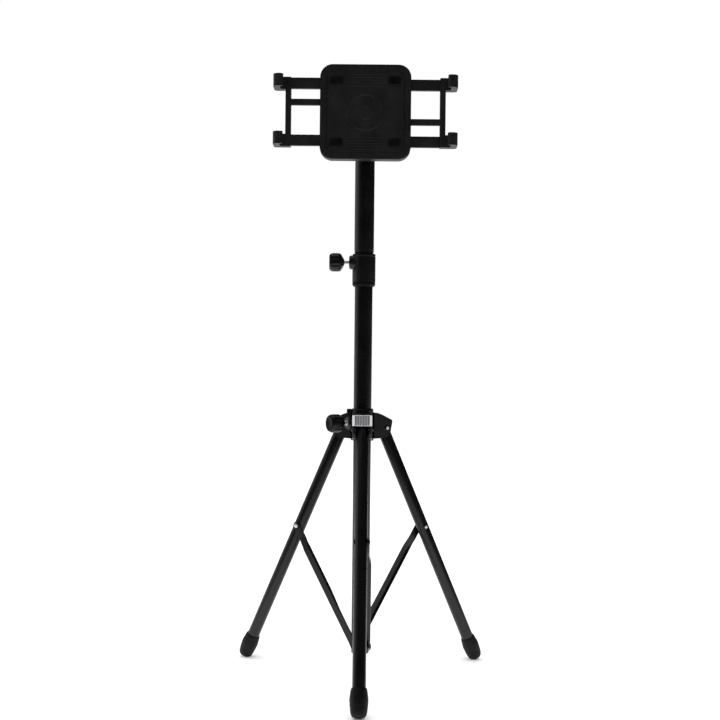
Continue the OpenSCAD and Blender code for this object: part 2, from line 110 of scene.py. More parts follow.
def bump(nt, bsdf, height, dist, strength=1.0):
    b = nt.nodes.new("ShaderNodeBump")
    b.inputs["Distance"].default_value = dist
    b.inputs["Strength"].default_value = strength
    nt.links.new(height, b.inputs["Height"])
    nt.links.new(b.outputs["Normal"], bsdf.inputs["Normal"])


def dark_coat(name, dark, light, r_lo, r_hi, grain, grain_h, spec=0.5, mottle=40.0, streak=None):
    """Painted or moulded black: slow mottling of colour and gloss over a fine surface grain."""
    m, nt, b = new_mat(name, light)
    v = coords(nt)
    slow = noise(nt, v, mottle, 4.0, 0.6)
    fine = noise(nt, v, grain, 2.0, 0.6)
    nt.links.new(ramp(nt, slow, [(0.3, dark), (0.72, light)]), b.inputs["Base Color"])
    rough = span(nt, slow, r_lo, r_hi)
    if streak:
        s = noise(nt, coords(nt, streak), 1.0, 2.0, 0.5)
        rough = math_node(nt, "ADD", rough, span(nt, s, -0.04, 0.06))
    nt.links.new(rough, b.inputs["Roughness"])
    b.inputs["Specular IOR Level"].default_value = spec
    bump(nt, b, fine, grain_h)
    return m


def bright_metal(name, dark, light, r_lo, r_hi, stretch, grain_h, metal=1.0):
    """Bare or plated metal with drawn-out scratches along one direction."""
    m, nt, b = new_mat(name, light)
    v = coords(nt, stretch)
    lines = noise(nt, v, 1.0, 4.0, 0.6)
    slow = noise(nt, coords(nt), 120.0, 3.0, 0.5)
    nt.links.new(ramp(nt, lines, [(0.3, dark), (0.7, light)]), b.inputs["Base Color"])
    nt.links.new(span(nt, slow, r_lo, r_hi), b.inputs["Roughness"])
    b.inputs["Metallic"].default_value = metal
    bump(nt, b, lines, grain_h)
    return m


PAINT = dark_coat("black_powder_paint", (0.0012, 0.0012, 0.0013), (0.0024, 0.0024, 0.0025), 0.24, 0.31, 1100.0, 0.00003, 0.45, 30.0, (60.0, 60.0, 6.0))
LEGPAINT = dark_coat("black_leg_paint", (0.0016, 0.0016, 0.0017), (0.003, 0.003, 0.0031), 0.26, 0.33, 1100.0, 0.00003, 0.42, 30.0)
STRUT = dark_coat("black_strut_paint", (0.0015, 0.0015, 0.0016), (0.003, 0.003, 0.0031), 0.3, 0.4, 1400.0, 0.00003, 0.4, 60.0)
PLASTIC = dark_coat("black_moulded_plastic", (0.0016, 0.0016, 0.0017), (0.0032, 0.0032, 0.0033), 0.3, 0.4, 2600.0, 0.00004, 0.42, 70.0)
SOCKET = dark_coat("black_socket_plastic", (0.0014, 0.0014, 0.0015), (0.0028, 0.0028, 0.0029), 0.26, 0.34, 1600.0, 0.00003, 0.5, 60.0)
KNOB = dark_coat("black_knob_plastic", (0.0018, 0.0018, 0.0019), (0.0035, 0.0035, 0.0036), 0.27, 0.35, 2200.0, 0.00003, 0.3, 90.0)
HOLDER = dark_coat("black_holder_plastic", (0.005, 0.005, 0.0052), (0.0088, 0.0088, 0.009), 0.42, 0.52, 2000.0, 0.00006, 0.3, 55.0)
RUBBER = dark_coat("black_rubber", (0.0012, 0.0012, 0.0012), (0.003, 0.003, 0.0029), 0.5, 0.64, 1800.0, 0.00006, 0.25, 110.0)
TRIM = dark_coat("black_matt_ring", (0.0012, 0.0012, 0.0012), (0.0026, 0.0026, 0.0026), 0.5, 0.62, 1800.0, 0.00006, 0.12, 110.0)
STEEL = bright_metal("bright_steel", (0.55, 0.55, 0.57), (0.78, 0.78, 0.8), 0.22, 0.36, (900.0, 900.0, 900.0), 0.00001, 0.7)
PLATE = bright_metal("silver_plate", (0.74, 0.74, 0.76), (0.88, 0.88, 0.9), 0.3, 0.4, (1800.0, 1800.0, 90.0), 0.000004, 0.4)
RIB = bright_metal("silver_ribs", (0.36, 0.36, 0.38), (0.52, 0.52, 0.54), 0.28, 0.38, (1800.0, 1800.0, 90.0), 0.000004, 0.6)
# darker silver for the floor of the grooves between the ribs: painted shade in the recesses
GROOVE_SHADE = bright_metal("plate_groove_painted_shade", (0.17, 0.17, 0.18), (0.25, 0.25, 0.26), 0.4, 0.5, (1800.0, 1800.0, 90.0), 0.000004, 0.6)
BRASS = bright_metal("brass_insert", (0.5, 0.36, 0.16), (0.72, 0.56, 0.28), 0.25, 0.4, (900.0, 900.0, 900.0), 0.00001)
NYLON = dark_coat("pale_nylon", (0.6, 0.59, 0.55), (0.72, 0.71, 0.67), 0.4, 0.52, 1600.0, 0.00003, 0.45, 60.0)

SLOT = {"black_paint": PAINT, "black_plastic": PLASTIC, "rubber": RUBBER, "bright_steel": STEEL, "brass": BRASS, "pale_plastic": NYLON}
slot_of = {s["node"]: s["material_slot"] for s in frame["record"]["subparts"]}
body_of = {n: b for b, ns in frame["record"]["behaviour"]["bodies"].items() for n in ns}
for n, o in NODES.items():
    o.data.materials.clear()
    o.data.materials.append(SLOT[slot_of[n]])

# ---------------------------------------------------------------- mesh helpers


def put(name, bm, mat, node=None, body=None, smooth=40.0):
    """bmesh to an object that rides on a body and stands for a CAD node."""
    bmesh.ops.recalc_face_normals(bm, faces=bm.faces)
    me = bpy.data.meshes.new(name)
    bm.to_mesh(me)
    bm.free()
    me.polygons.foreach_set("use_smooth", [True] * len(me.polygons))
    me.set_sharp_from_angle(angle=math.radians(smooth))
    ob = bpy.data.objects.new(name, me)
    bpy.context.scene.collection.objects.link(ob)
    me.materials.append(mat)
    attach(ob, body or body_of[node])
    if node:
        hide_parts(node)
    return ob


def fillets(pts, n=4):
    """Profile points (r, h) or (r, h, fillet) in millimetres to points with round corners."""
    out = []
    k = len(pts)
    for i, p in enumerate(pts):
        rad = p[2] if len(p) > 2 else 0.0
        if rad <= 0 or i in (0, k - 1):
            out.append((p[0], p[1]))
            continue
        c = Vector(p[:2])
        a = Vector(pts[i - 1][:2]) - c
        b = Vector(pts[i + 1][:2]) - c
        ang = a.angle(b)
        d = min(rad / math.tan(ang / 2), a.length * 0.48, b.length * 0.48)
        p0 = c + a.normalized() * d
        p1 = c + b.normalized() * d
        for j in range(n + 1):
            t = j / n
            q = p0 * (1 - t) ** 2 + c * 2 * t * (1 - t) + p1 * t ** 2
            out.append((q.x, q.y))
    return out


def axis_matrix(origin, axis, twist=0.0):
    z = Vector(axis).normalized()
    q = Vector((0, 0, 1)).rotation_difference(z)
    return Matrix.Translation(Vector(origin) * MM) @ q.to_matrix().to_4x4() @ Matrix.Rotation(twist, 4, "Z")


def lathe_into(bm, prof, mx, segs=96, closed=False, shape=None):
    """Turns a profile (r, h) in millimetres about the local Z axis of mx. shape(r, h, angle) can change the radius."""
    rings = []
    for r, h in prof:
        if r < 1e-6:
            rings.append([bm.verts.new(mx @ Vector((0, 0, h * MM)))])
            continue
        ring = []
        for i in range(segs):
            a = 2 * math.pi * i / segs
            rr = shape(r, h, a) if shape else r
            ring.append(bm.verts.new(mx @ Vector((rr * math.cos(a) * MM, rr * math.sin(a) * MM, h * MM))))
        rings.append(ring)
    pairs = list(zip(rings, rings[1:]))
    if closed:
        pairs.append((rings[-1], rings[0]))
    for lo, hi in pairs:
        if len(lo) == 1 and len(hi) == 1:
            continue
        for i in range(segs):
            j = (i + 1) % segs
            if len(lo) == 1:
                bm.faces.new((lo[0], hi[i], hi[j]))
            elif len(hi) == 1:
                bm.faces.new((lo[i], lo[j], hi[0]))
            else:
                bm.faces.new((lo[i], lo[j], hi[j], hi[i]))


def lathe(name, prof, mat, node, origin=(0, 0, 0), axis=(0, 0, 1), segs=96, closed=False, shape=None, smooth=40.0, twist=0.0):
    bm = bmesh.new()
    lathe_into(bm, fillets(prof), axis_matrix(origin, axis, twist), segs, closed, shape)
    return put(name, bm, mat, node, smooth=smooth)


def refine(node, mat, width=0.5, segs=3, angle=35.0, name=None, extra=None):
    """A copy of a CAD node with its edges rounded, standing for the node."""
    src = NODES[node].data
    bm = bmesh.new()
    vs = [bm.verts.new(v.co) for v in src.vertices]
    for p in src.polygons:
        bm.faces.new([vs[i] for i in p.vertices])
    bmesh.ops.remove_doubles(bm, verts=bm.verts, dist=2e-6)
    bmesh.ops.dissolve_degenerate(bm, dist=1e-6, edges=bm.edges)
    bmesh.ops.dissolve_limit(bm, angle_limit=math.radians(0.6), verts=bm.verts, edges=bm.edges)
    if extra:
        edges = [e for e in bm.edges if len(e.link_faces) == 2 and e.calc_face_angle() > math.radians(angle)]
        bmesh.ops.bevel(bm, geom=edges, offset=width * MM, offset_type="OFFSET", segments=segs, profile=0.6, affect="EDGES", clamp_overlap=True, miter_outer="ARC")
        extra(bm)
    ob = put(name or node + "_skin", bm, mat, node)
    if not extra:
        mod = ob.modifiers.new("round", "BEVEL")
        mod.limit_method = "ANGLE"
        mod.angle_limit = math.radians(angle)
        mod.width = width * MM
        mod.segments = segs
        mod.profile = 0.6
        mod.use_clamp_overlap = True
        mod.miter_outer = "MITER_ARC"
    wn = ob.modifiers.new("normals", "WEIGHTED_NORMAL")
    wn.keep_sharp = True
    return ob


# ---------------------------------------------------------------- the stand, in millimetres
AZ = {"front": 270.0, "left": 150.0, "right": 30.0}
HUB_R, HUB_Z, LEG_A = 26.2, 280.0, math.radians(25.65)
LEG_S = 129.0
STRUT_Z = 33.0
HOLD_Z = 628.7


def polar(az, r, z):
    a = math.radians(az)
    return (r * math.cos(a), r * math.sin(a), z)


def radial(az):
    a = math.radians(az)
    return (math.cos(a), math.sin(a), 0.0)


def tangent(az):
    a = math.radians(az)
    return (-math.sin(a), math.cos(a), 0.0)


def down_leg(az):
    u = radial(az)
    return (u[0] * math.sin(LEG_A), u[1] * math.sin(LEG_A), -math.cos(LEG_A))


def along(p, d, s):
    return tuple(p[i] + d[i] * s for i in range(3))


def tube_prof(r, wall, h0, h1, f=0.35):
    return [(r - wall, (h0 + h1) / 2), (r - wall, h0), (r - f, h0), (r, h0 + f), (r, h1 - f), (r - f, h1), (r - wall, h1)]


# ---- column, collar and mast
lathe("column_skin", tube_prof(10, 1.25, 28, 457), PAINT, "column_tube", closed=True, segs=128)
lathe("column_plug_skin", [(0, 27), (4.2, 27), (4.6, 26, 0.3), (9.2, 26, 0.4), (10, 26.8, 0.3), (10, 28), (8.74, 28), (8.74, 48), (7.74, 49), (0, 49)], PLASTIC, "column_plug", segs=96)
lathe("mast_skin", tube_prof(8.25, 1.2, 60, 546), PAINT, "mast_tube", closed=True, segs=128)

bm = bmesh.new()
lathe_into(bm, fillets([(10.02, 439), (10.9, 439, 0.3), (12.2, 440.0, 0.8), (13, 441.6, 0.8), (13, 443.4, 0.15), (12.75, 443.7, 0.1), (12.75, 444.3, 0.1), (13, 444.6, 0.15),
    (13, 455), (13, 472.3, 0.15), (12.8, 472.6, 0.1), (12.8, 473.1, 0.1), (13, 473.4, 0.15), (13, 475.2, 0.5), (12, 476.3, 0.3), (8.35, 476.3), (8.35, 457), (10.02, 457), (10.02, 448)]),
    Matrix.Identity(4), 128, closed=True)
mx = axis_matrix((0, 0, 466.6), (-1, 0, 0))
lathe_into(bm, fillets([(2.15, 12), (2.15, 16.2), (2.6, 16.8, 0.2), (6.5, 16.8, 0.5), (7.9, 15.3, 0.8), (7.9, 13.2), (8.3, 12.0, 0.8), (9.6, 9.6)]), mx, 96, closed=True)
ob = put("collar_skin", bm, PLASTIC, "collar")
ob.data.materials.append(TRIM)
for f in ob.data.polygons:
    if f.center.z < 0.4447 or f.center.z > 0.4749:
        f.material_index = 1

lathe("socket_skin", [(0, 546), (8.3, 546), (8.3, 477), (10.2, 477, 0.3), (11, 477.8, 0.4), (11, 479.4, 0.1), (10.82, 479.6, 0.1), (10.82, 480.0, 0.1), (11, 480.2, 0.1), (11, 540),
    (11, 592.0, 0.1), (10.8, 592.2, 0.1), (10.8, 592.7, 0.1), (11, 592.9, 0.1), (11, 595.4, 0.3), (10.4, 596, 0.2), (7.05, 596), (7.05, 574), (0, 574)], SOCKET, "socket", segs=128)


def dome_prof(d, h, shank=None, depth=0.0):
    r = d / 2
    pts = [(0, -depth), (shank / 2, -depth), (shank / 2, 0)] if shank else [(0, 0)]
    pts += [(r - 0.15, 0), (r, 0.15), (r, h * 0.25)]
    n = 10
    for k in range(1, n):
        a = math.radians(90 * k / n)
        pts.append((r * math.cos(a), h * (0.25 + 0.75 * math.sin(a))))
    return pts + [(0, h)]


def two_heads(dia, h, shank, d0, d1):
    """Profile of a rivet set at both ends: heads under d0 and over d1, the shank between."""
    head = dome_prof(dia, h)[1:]
    return [(r, d0 - z) for r, z in reversed(head)] + [(shank / 2, d0), (shank / 2, d1)] + [(r, d1 + z) for r, z in head]


def rivet(name, node, heads, mat):
    """heads: list of (centre of the head's underside, direction, diameter, height, shank diameter, shank depth)."""
    bm = bmesh.new()
    for o, d, dia, h, sh, dep in heads:
        lathe_into(bm, dome_prof(dia, h, sh, dep), axis_matrix(o, d), 48)
    return put(name, bm, mat, node)


rivet("strut_rivets_low_skin", "strut_rivets_low",
      [(along((0, 0, STRUT_Z), tangent(az), 11.75), tangent(az), 6.4, 0.9, 4.0, 7.75) for az in AZ.values()], PAINT)
bm = bmesh.new()
for az in AZ.values():
    lathe_into(bm, two_heads(6.0, 1.3, 5.0, -11.1, 11.1), axis_matrix(polar(az, HUB_R, HUB_Z), tangent(az)), 48)
ob = put("leg_rivets_skin", bm, STEEL, "leg_rivets")
ob.data.materials.append(PAINT)  # the front pair is painted over, the others are bare at the crown only
for f in ob.data.polygons:
    near = min((Vector(f.center) - Vector(polar(az, HUB_R, HUB_Z)) * MM).cross(Vector(tangent(az))).length for az in AZ.values())
    if f.center.y < -0.015 or near > 0.0018:
        f.material_index = 1
for s, az in AZ.items():
    c = along(polar(az, HUB_R, HUB_Z), down_leg(az), LEG_S)
    t = tangent(az)
    ob = lathe(f"strut_rivet_{s}_skin", two_heads(5.8, 1.4, 4.0, -6.95, 8.75), PAINT if s == "front" else STEEL, f"strut_rivet_{s}", origin=c, axis=t, segs=48)
    ob.data.materials.append(PAINT)
    for f in ob.data.polygons:
        # the right rivet's black rim is painted wider than the others': painted shade, since that rivet lies on the
        # side away from the left-hand lamps
        if (Vector(f.center) - Vector(c) * MM).cross(Vector(t)).length > (0.0018 if s == "right" else 0.0022):  # paint left on the rim
            f.material_index = 1


# ---- knobs and screws
def smoothstep(x, a, b):
    x = min(max((x - a) / (b - a), 0.0), 1.0)
    return x * x * (3 - 2 * x)


def flutes(count, centre, rho, h0, h1, offset=0.0, soft=0.5):
    """Radius of a knob with round flutes cut along it; they run out softly at h0."""
    step = 2 * math.pi / count

    def shape(r, h, a):
        d = (a - offset + step / 2) % step - step / 2
        c = centre + 3.5 * (1 - smoothstep(h, h0, h1))
        x = c * math.sin(d)
        if abs(x) >= rho:
            return r
        cut = c * math.cos(d) - math.sqrt(rho * rho - x * x)
        k = soft
        m = max(k - abs(r - cut), 0.0) / k
        return min(r, cut) - m * m * k * 0.25 if cut < r + k else r

    return shape


def knob(name, node, origin, axis, prof, count, centre, rho, h0, h1, offset=0.0, twist=0.0):
    fine = []
    pts = fillets(prof, 5)
    for (r0, z0), (r1, z1) in zip(pts, pts[1:]):
        n = max(1, int(math.hypot(r1 - r0, z1 - z0) / 0.5)) if min(r0, r1) > 3.2 else 1
        for k in range(n):
            fine.append((r0 + (r1 - r0) * k / n, z0 + (z1 - z0) * k / n))
    fine.append(pts[-1])
    bm = bmesh.new()
    lathe_into(bm, fine, axis_matrix(origin, axis, twist), 256, False, flutes(count, centre, rho, h0, h1, offset))
    return put(name, bm, KNOB, node, smooth=50.0)


def screw(name, node, origin, axis, r, pitch, depth, h0, h1, tip=0.6):
    """A threaded shank: the thread is a helix in the mesh."""
    n = int((h1 - h0) / pitch * 6)
    prof = [(0, h0), (r - tip, h0)] + [(r, h0 + (h1 - h0) * k / n) for k in range(1, n)] + [(r - tip, h1), (0, h1)]

    def shape(rr, h, a):
        if rr < r - 1e-6:
            return rr
        f = (h / pitch - a / (2 * math.pi)) % 1.0
        return rr - depth * abs(2 * f - 1)

    bm = bmesh.new()
    lathe_into(bm, prof, axis_matrix(origin, axis), 48, False, shape)
    return put(name, bm, STEEL, node, smooth=75.0)


knob("collar_knob_skin", "collar_knob", (-22.3, 0, 466.6), (-1, 0, 0),
     [(0, 12), (2.0, 12), (2.0, 0.2), (3.2, 0, 0.2), (4.2, 0.7, 0.4), (7.8, 2.7, 1.2), (9.5, 3.7, 0.9), (10.4, 5.6, 1.2), (10.45, 12.2, 1.5), (10.1, 14.4, 1.5), (8.7, 16.6, 0.9), (7.2, 16.8, 0.3), (6.6, 16.3, 0.3), (5.6, 16.3, 0.5), (0, 16.6)],
     8, 12.3, 2.5, 2.6, 5.0, math.pi / 8)
screw("collar_knob_screw_skin", "collar_knob_screw", (0, 0, 466.6), (-1, 0, 0), 2.0, 0.7, 0.28, 8.55, 34.3)
hk = radial(210)
ob = knob("hub_knob_skin", "hub_knob", along((0, 0, 285.5), hk, 24.6), hk,
     [(0, 13), (3.0, 13), (3.0, 0.2), (4.6, 0, 0.3), (5.6, 0.8, 0.5), (8.4, 3.5, 1.2), (9.6, 4.8, 1.0), (10.25, 7, 1.5), (10.25, 13.8, 1.8), (9.7, 16.3, 1.4), (8.6, 17.8, 0.7), (7.5, 18.25, 0.45), (6.6, 17.85, 0.5), (3.5, 17.1, 1.5), (0, 16.9)],
     8, 12.2, 2.5, 3.8, 6.5)
ob.data.materials.append(TRIM)  # the dished end is matt
for f in ob.data.polygons:
    d = Vector(f.center) / MM - Vector(along((0, 0, 285.5), hk, 24.6))
    if d.dot(Vector(hk)) > 16.5 and d.cross(Vector(hk)).length < 8.9:
        f.material_index = 1
screw("hub_knob_screw_skin", "hub_knob_screw", (0, 0, 285.5), hk, 3.0, 1.0, 0.4, 10.7, 37.6)
knob("tilt_knob_skin", "tilt_knob", (11.8, 0, HOLD_Z), (1, 0, 0),
     [(0, 12.6), (3.1, 12.6), (3.1, 0.2), (6, 0, 0.3), (7, 0.9, 0.5), (8.4, 3.4, 1.0), (11.1, 4.9, 0.9), (11.5, 7, 1.2), (11.5, 14.3, 1.5), (10.4, 16, 0.9), (8.2, 16.2, 0.3), (7.6, 15.7, 0.3), (6.4, 15.7, 0.5), (0, 16.2)],
     8, 13.6, 2.7, 3.4, 6.2)
knob("lock_knob_skin", "lock_knob", (0, -24.7, HOLD_Z + 31.3), (0, 1, 0),
     [(0, 7.4), (2.5, 7.4), (2.5, 0.2), (5, 0, 0.3), (5.6, 0.6, 0.4), (8, 2.1, 0.9), (9, 3.3, 0.9), (9, 8.5, 1.2), (8.1, 10, 0.8), (6.4, 10.2, 0.3), (5.9, 9.8, 0.2), (5, 9.8, 0.4), (0, 10.2)],
     8, 10.8, 2.2, 2.0, 4.4)
screw("lock_screw_skin", "lock_screw", (0, -27.6, HOLD_Z + 31.3), (0, 1, 0), 2.5, 0.8, 0.3, 0.0, 9.8)

# ---- hub
lathe("hub_bush_skin", [(10.45, 270), (10.45, 266.6), (10.8, 266.4, 0.1), (11.38, 266.4, 0.1), (11.38, 297.5), (12.2, 297.5, 0.2), (12.4, 297.8, 0.2), (12.4, 300.2, 0.5), (11.5, 301.6, 0.5), (11.0, 301.8, 0.2), (10.7, 301.8, 0.2), (10.45, 301.5, 0.1), (10.45, 280)],
      PLASTIC, "hub_bush", closed=True, segs=128)
refine("hub_body", PLASTIC, 0.9, 5, 30.0)


def slab_into(bm, mx, w, h, r, d, bev, n=8):
    """A flat block w by h with corner radius r, drawn from 0 to d along local Z, its top edge rounded by bev."""
    def ring(inset, z):
        out = []
        for cx, cy, a0 in ((1, 1, 0), (-1, 1, 90), (-1, -1, 180), (1, -1, 270)):
            rr = max(r - inset, 0.02)
            for k in range(n + 1):
                a = math.radians(a0 + 90 * k / n)
                out.append(bm.verts.new(mx @ (Vector(((w / 2 - inset - rr) * cx + rr * math.cos(a), (h / 2 - inset - rr) * cy + rr * math.sin(a), z)) * MM)))
        return out

    rings = [ring(0, 0)]
    m = 5
    for k in range(m + 1):
        a = math.radians(90 * k / m)
        rings.append(ring(bev * (1 - math.cos(a)), d - bev + bev * math.sin(a)))
    for lo, hi in zip(rings, rings[1:]):
        for i in range(len(lo)):
            j = (i + 1) % len(lo)
            bm.faces.new((lo[i], lo[j], hi[j], hi[i]))
    bm.faces.new(rings[-1])
    bm.faces.new(list(reversed(rings[0])))


FRONT = Matrix(((1, 0, 0, 0), (0, 0, -1, 0), (0, 1, 0, 0), (0, 0, 0, 1)))  # local X, Y, Z to X, Z, -Y


def facing(x, y, z):
    return Matrix.Translation(Vector((x, y, z)) * MM) @ FRONT


bm = bmesh.new()
slab_into(bm, facing(0, -34.6, 289.8), 22, 12, 0.8, 0.75, 0.25)
n_base = len(bm.faces)
for k in range(-2, 3):
    slab_into(bm, facing(k * 2.8, -35.2, 289.8), 1.45, 10.6, 0.6, 0.66, 0.45, 5)
n_ribs = len(bm.faces)
for q in (-1, 1):
    slab_into(bm, facing(q * 9.6, -35.2, 289.8), 2.75, 11.7, 0.7, 0.68, 0.35)
for q in (-1, 1):
    slab_into(bm, facing(0, -35.2, 289.8 + q * 5.65), 16.8, 0.5, 0.2, 0.4, 0.15)
ob = put("hub_plate_skin", bm, PLATE, "hub_plate")
ob.data.materials.append(RIB)
ob.data.materials.append(GROOVE_SHADE)
# the plate's base, seen only in the grooves, takes the painted groove shade; the ribs take the darker silver and the
# rest the plain silver
for i, f in enumerate(ob.data.polygons):
    f.material_index = 2 if i < n_base else 1 if i < n_ribs else 0

# ---- legs, feet and struts
for s, az in AZ.items():
    top = polar(az, HUB_R, HUB_Z)
    d = down_leg(az)
    lathe(f"leg_{s}_skin", [(5.9, 150), (5.9, -4.6), (6.25, -4.6), (6.45, -4.4), (7, -3.4), (7, 302.6), (6.6, 303), (5.9, 303)], LEGPAINT, f"leg_{s}", origin=top, axis=d, closed=True)
    up = tuple(-c for c in d)
    lathe(f"leg_plug_{s}_skin", [(0, -14), (5.2, -14, 0.3), (5.88, -13), (5.88, 4.6), (6.2, 4.6, 0.1), (5.95, 5.1, 0.4), (5.0, 6.1, 0.8), (3, 7, 1.0), (0, 7.4)], PLASTIC, f"leg_plug_{s}", origin=top, axis=up)
    bm = bmesh.new()
    foot = [(0, 303), (7.02, 303), (7.02, 279.9), (7.4, 279.6, 0.15), (7.95, 280.0, 0.35), (8.55, 282.4, 0.8), (8.9, 285.2, 1.0), (9.45, 288.6, 1.4), (9.62, 291, 1.2), (9.5, 293.4, 1.5), (9.2, 297.4), (9.12, 298.2, 0.2), (8.84, 298.5, 0.15),
            (8.82, 299.1, 0.15), (9.04, 299.4, 0.2), (8.4, 303.8, 1.6), (7.5, 306.6, 1.2), (6.3, 308.0, 0.8), (4.6, 308.6, 0.4), (4.0, 308.6, 0.2), (3.7, 308.1, 0.2), (0, 308.1)]
    lathe_into(bm, fillets(foot, 5), axis_matrix(top, d), 96)
    for v in bm.verts:
        v.co.z = max(v.co.z, 0.0)
    put(f"foot_{s}_skin", bm, RUBBER, f"foot_{s}")

STRUT_B = 154.3255
STRUT_A = math.radians(32.1141)


def steps(x, pts):
    """Straight lines through points (x, y)."""
    if x <= pts[0][0]:
        return pts[0][1]
    for (x0, y0), (x1, y1) in zip(pts, pts[1:]):
        if x <= x1:
            return y0 + (y1 - y0) * (x - x0) / (x1 - x0)
    return pts[-1][1]


def strut_mesh(s, az):
    """A pressed channel: flat at the riveted ends, flanged between, stepped inwards to the leg."""
    u, t = Vector(radial(az)), Vector(tangent(az))
    zz = Vector((0, 0, 1))
    sv = u * math.sin(STRUT_A) + zz * math.cos(STRUT_A)
    xv = u * math.cos(STRUT_A) - zz * math.sin(STRUT_A)
    base = zz * STRUT_Z
    W, TH, FL = 8.8, 1.3, 1.2
    R = W / 2
    stations = [-R + R * (1 - math.cos(math.radians(a))) for a in range(0, 91, 9)]
    k = 1.5
    while k < STRUT_B - 1.4:
        stations.append(k)
        k += 1.5
    stations += [STRUT_B + R * math.sin(math.radians(a)) for a in range(0, 91, 9)]
    bm = bmesh.new()
    rows = []
    for st in stations:
        over = -st if st < 0 else max(st - STRUT_B, 0.0)
        half = max(math.sqrt(max(R * R - over * over, 0.0)), 0.03)
        inner = 10.3 - 3.0 * smoothstep(st, 122.0, 139.0)
        outer = inner + TH
        full = steps(st, [(4, 10.3), (10, 9.22), (22, 7.72), (126, 7.72), (133, 8.3)])
        part = steps(st, [(42, 10.3), (51, 9.52), (61, 8.52), (72, 7.72), (126, 7.72), (133, 8.3)])
        fl = min(FL, half * 0.5)

        def side(depth):
            """Half a section, from the middle of the outer face round the flange to the middle of the inner face."""
            ro = min(0.3 + 0.75 * min(depth, 1.0), half * 0.45)
            ri = min(0.5, 0.6 * depth)
            c = min(0.2, 0.3 * depth, fl * 0.3)
            low = inner - depth
            q = [(half * 0.35, outer), (half * 0.7 - ro * 0.7, outer)]
            q += [(half - ro + ro * math.sin(math.radians(a)), outer - ro + ro * math.cos(math.radians(a))) for a in range(0, 91, 15)]
            q += [(half, low + c), (half - c, low), (half - fl + c, low), (half - fl, low + c)]
            q += [(half - fl - ri + ri * math.cos(math.radians(a)), inner - ri + ri * math.sin(math.radians(a))) for a in range(0, 91, 18)]
            q += [(min(half * 0.35, half - fl - ri - half * 0.02), inner)]
            return q

        a = side(max(inner - full, 0.06))
        b = side(max(inner - part, 0.06))
        loop = a + [(-x, y) for x, y in reversed(b)]
        rows.append([bm.verts.new((base + sv * st + xv * x + t * y) * MM) for x, y in loop])
    for a, b in zip(rows, rows[1:]):
        n = len(a)
        for i in range(n):
            j = (i + 1) % n
            bm.faces.new((a[i], a[j], b[j], b[i]))
    bm.faces.new(rows[0])
    bm.faces.new(list(reversed(rows[-1])))
    return put(f"strut_{s}_skin", bm, STRUT, f"strut_{s}", smooth=40.0)


for s, az in AZ.items():
    strut_mesh(s, az)

# ---- head
refine("tilt_fork", PLASTIC, 0.8, 4, 30.0)
refine("tilt_arm", PLASTIC, 0.6, 4, 30.0)
refine("tilt_bolt", STEEL, 0.25, 2, 30.0)
refine("swivel_washer", NYLON, 0.15, 2, 30.0)


bm = bmesh.new()
for sx in (-1, 1):
    for sz in (-1, 1):
        lathe_into(bm, dome_prof(5.6, 1.4, 3.0, 12.3), axis_matrix((sx * 38, -25.2, HOLD_Z + sz * 44.6), (0, 1, 0)), 48)
put("case_screws_skin", bm, STEEL, "case_screws")
rivet("socket_screw_skin", "socket_screw", [((0, 11, 530), (0, 1, 0), 7.0, 2.0, 4.0, 2.6)], KNOB)

# ---- holder
def cover_detail(bm):
    """Moulded face of the cover: a ring round the pinion's place, and two fields of grip ribs, all lower than the pads."""
    ring = [(0, -0.6), (21, -0.6), (21, -0.1, 0.2), (20.4, 0.5, 0.4), (18.4, 0.5, 0.4), (17.7, 0.1, 0.25), (17.2, 0.06, 0.2), (9.2, 0.06, 0.2), (8.6, 0.14, 0.2), (8.0, 0.55, 0.35), (4.6, 0.6, 0.4), (4.1, 0.3, 0.2), (0, 0.3)]
    lathe_into(bm, fillets(ring, 5), axis_matrix((0, -39.7, HOLD_Z), (0, -1, 0)), 128)
    for q in (-1, 1):
        for k in range(5):
            slab_into(bm, facing(0, -39.4, HOLD_Z + q * (28.4 + 3.1 * k)), 40 - 1.6 * k, 1.5, 0.7, 0.85, 0.5, 6)


def rear_detail(bm):
    """Moulded ribs on the back of the case, left and right of the swivel."""
    back = Matrix(((-1, 0, 0, 0), (0, 0, 1, 0), (0, 1, 0, 0), (0, 0, 0, 1)))  # local X, Y, Z to -X, Z, Y
    for sx in (-1, 1):
        for k in range(-3, 4):
            slab_into(bm, Matrix.Translation(Vector((sx * 34.0, -25.5, HOLD_Z + 8.0 * k)) * MM) @ back, 18, 2.4, 1.15, 0.85, 0.5, 6)


refine("case_rear", HOLDER, 1.0, 4, 30.0, extra=rear_detail)
refine("case_front", HOLDER, 0.3, 3, 30.0, extra=cover_detail)
refine("jaw_left", HOLDER, 0.6, 3, 30.0)
refine("jaw_right", HOLDER, 0.6, 3, 30.0)
refine("claw_pads_left", RUBBER, 0.18, 2, 30.0)
refine("claw_pads_right", RUBBER, 0.18, 2, 30.0)
bm = bmesh.new()
for sx in (-1, 1):
    for sz in (-1, 1):
        slab_into(bm, facing(sx * 32, -39.65, HOLD_Z + sz * 34), 14, 9, 3, 1.25, 0.5)
        for k in (-1, 0, 1):
            slab_into(bm, facing(sx * 32, -40.6, HOLD_Z + sz * 34 + k * 2.2), 9.6, 0.9, 0.44, 0.3, 0.25, 5)
put("rest_pads_skin", bm, RUBBER, "rest_pads")

# ---------------------------------------------------------------- floor, light, camera
bm = bmesh.new()
bmesh.ops.create_circle(bm, cap_ends=True, radius=4.4, segments=192)
me = bpy.data.meshes.new("floor")
bm.to_mesh(me)
bm.free()
floor = bpy.data.objects.new("floor", me)
floor.location = (0.6, 2.4, 0.0)
bpy.context.scene.collection.objects.link(floor)
fm, nt, b = new_mat("pale_floor", (0.9, 0.9, 0.9))
fl = noise(nt, coords(nt), 6.0, 3.0)
nt.links.new(ramp(nt, fl, [(0.3, (0.9, 0.9, 0.9)), (0.7, (0.93, 0.93, 0.93))]), b.inputs["Base Color"])
b.inputs["Roughness"].default_value = 0.6
b.inputs["Specular IOR Level"].default_value = 0.0
